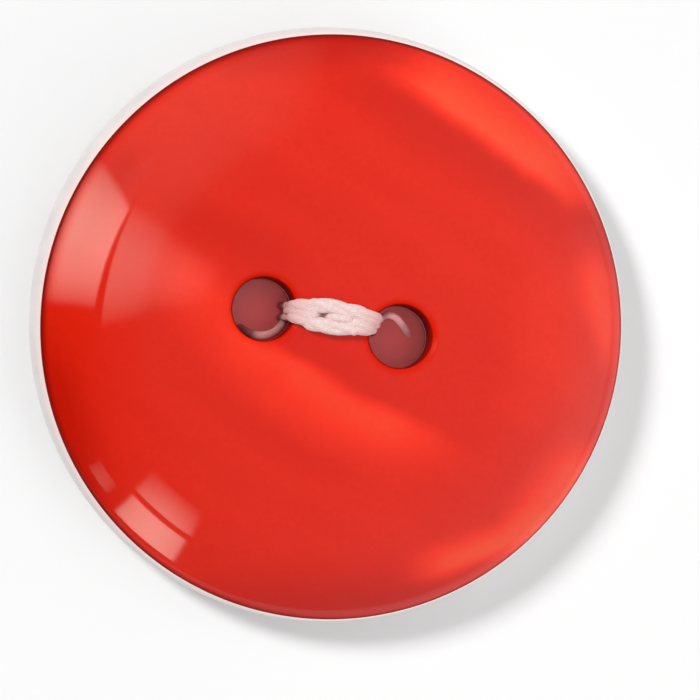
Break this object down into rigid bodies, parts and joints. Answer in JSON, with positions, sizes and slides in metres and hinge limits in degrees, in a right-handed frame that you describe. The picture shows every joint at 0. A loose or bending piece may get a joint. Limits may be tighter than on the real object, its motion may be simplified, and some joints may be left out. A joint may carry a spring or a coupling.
{
  "type": "sewing button",
  "caption": "Round sewing button with a low glossy red pearl dome on a white backing layer, drilled with sewing holes and still threaded with white thread.",
  "frame": {"origin": "centre of the button on the plane that its back rests on", "axes": "+Z out of the domed face; +X along the line from one sewing hole to the other; +Y across that line"},
  "size_m": [0.02, 0.02, 0.0041],
  "materials": {
    "red_pearl": "polished pearl polyester with soft lighter and darker bands",
    "white_backing": "tumbled satin white polyester",
    "white_thread": "plied cotton thread"
  },
  "bodies": {
    "root": {"face_layer": "red_pearl", "backing_layer": "white_backing", "sewing_thread": "white_thread"}
  },
  "joints": []
}
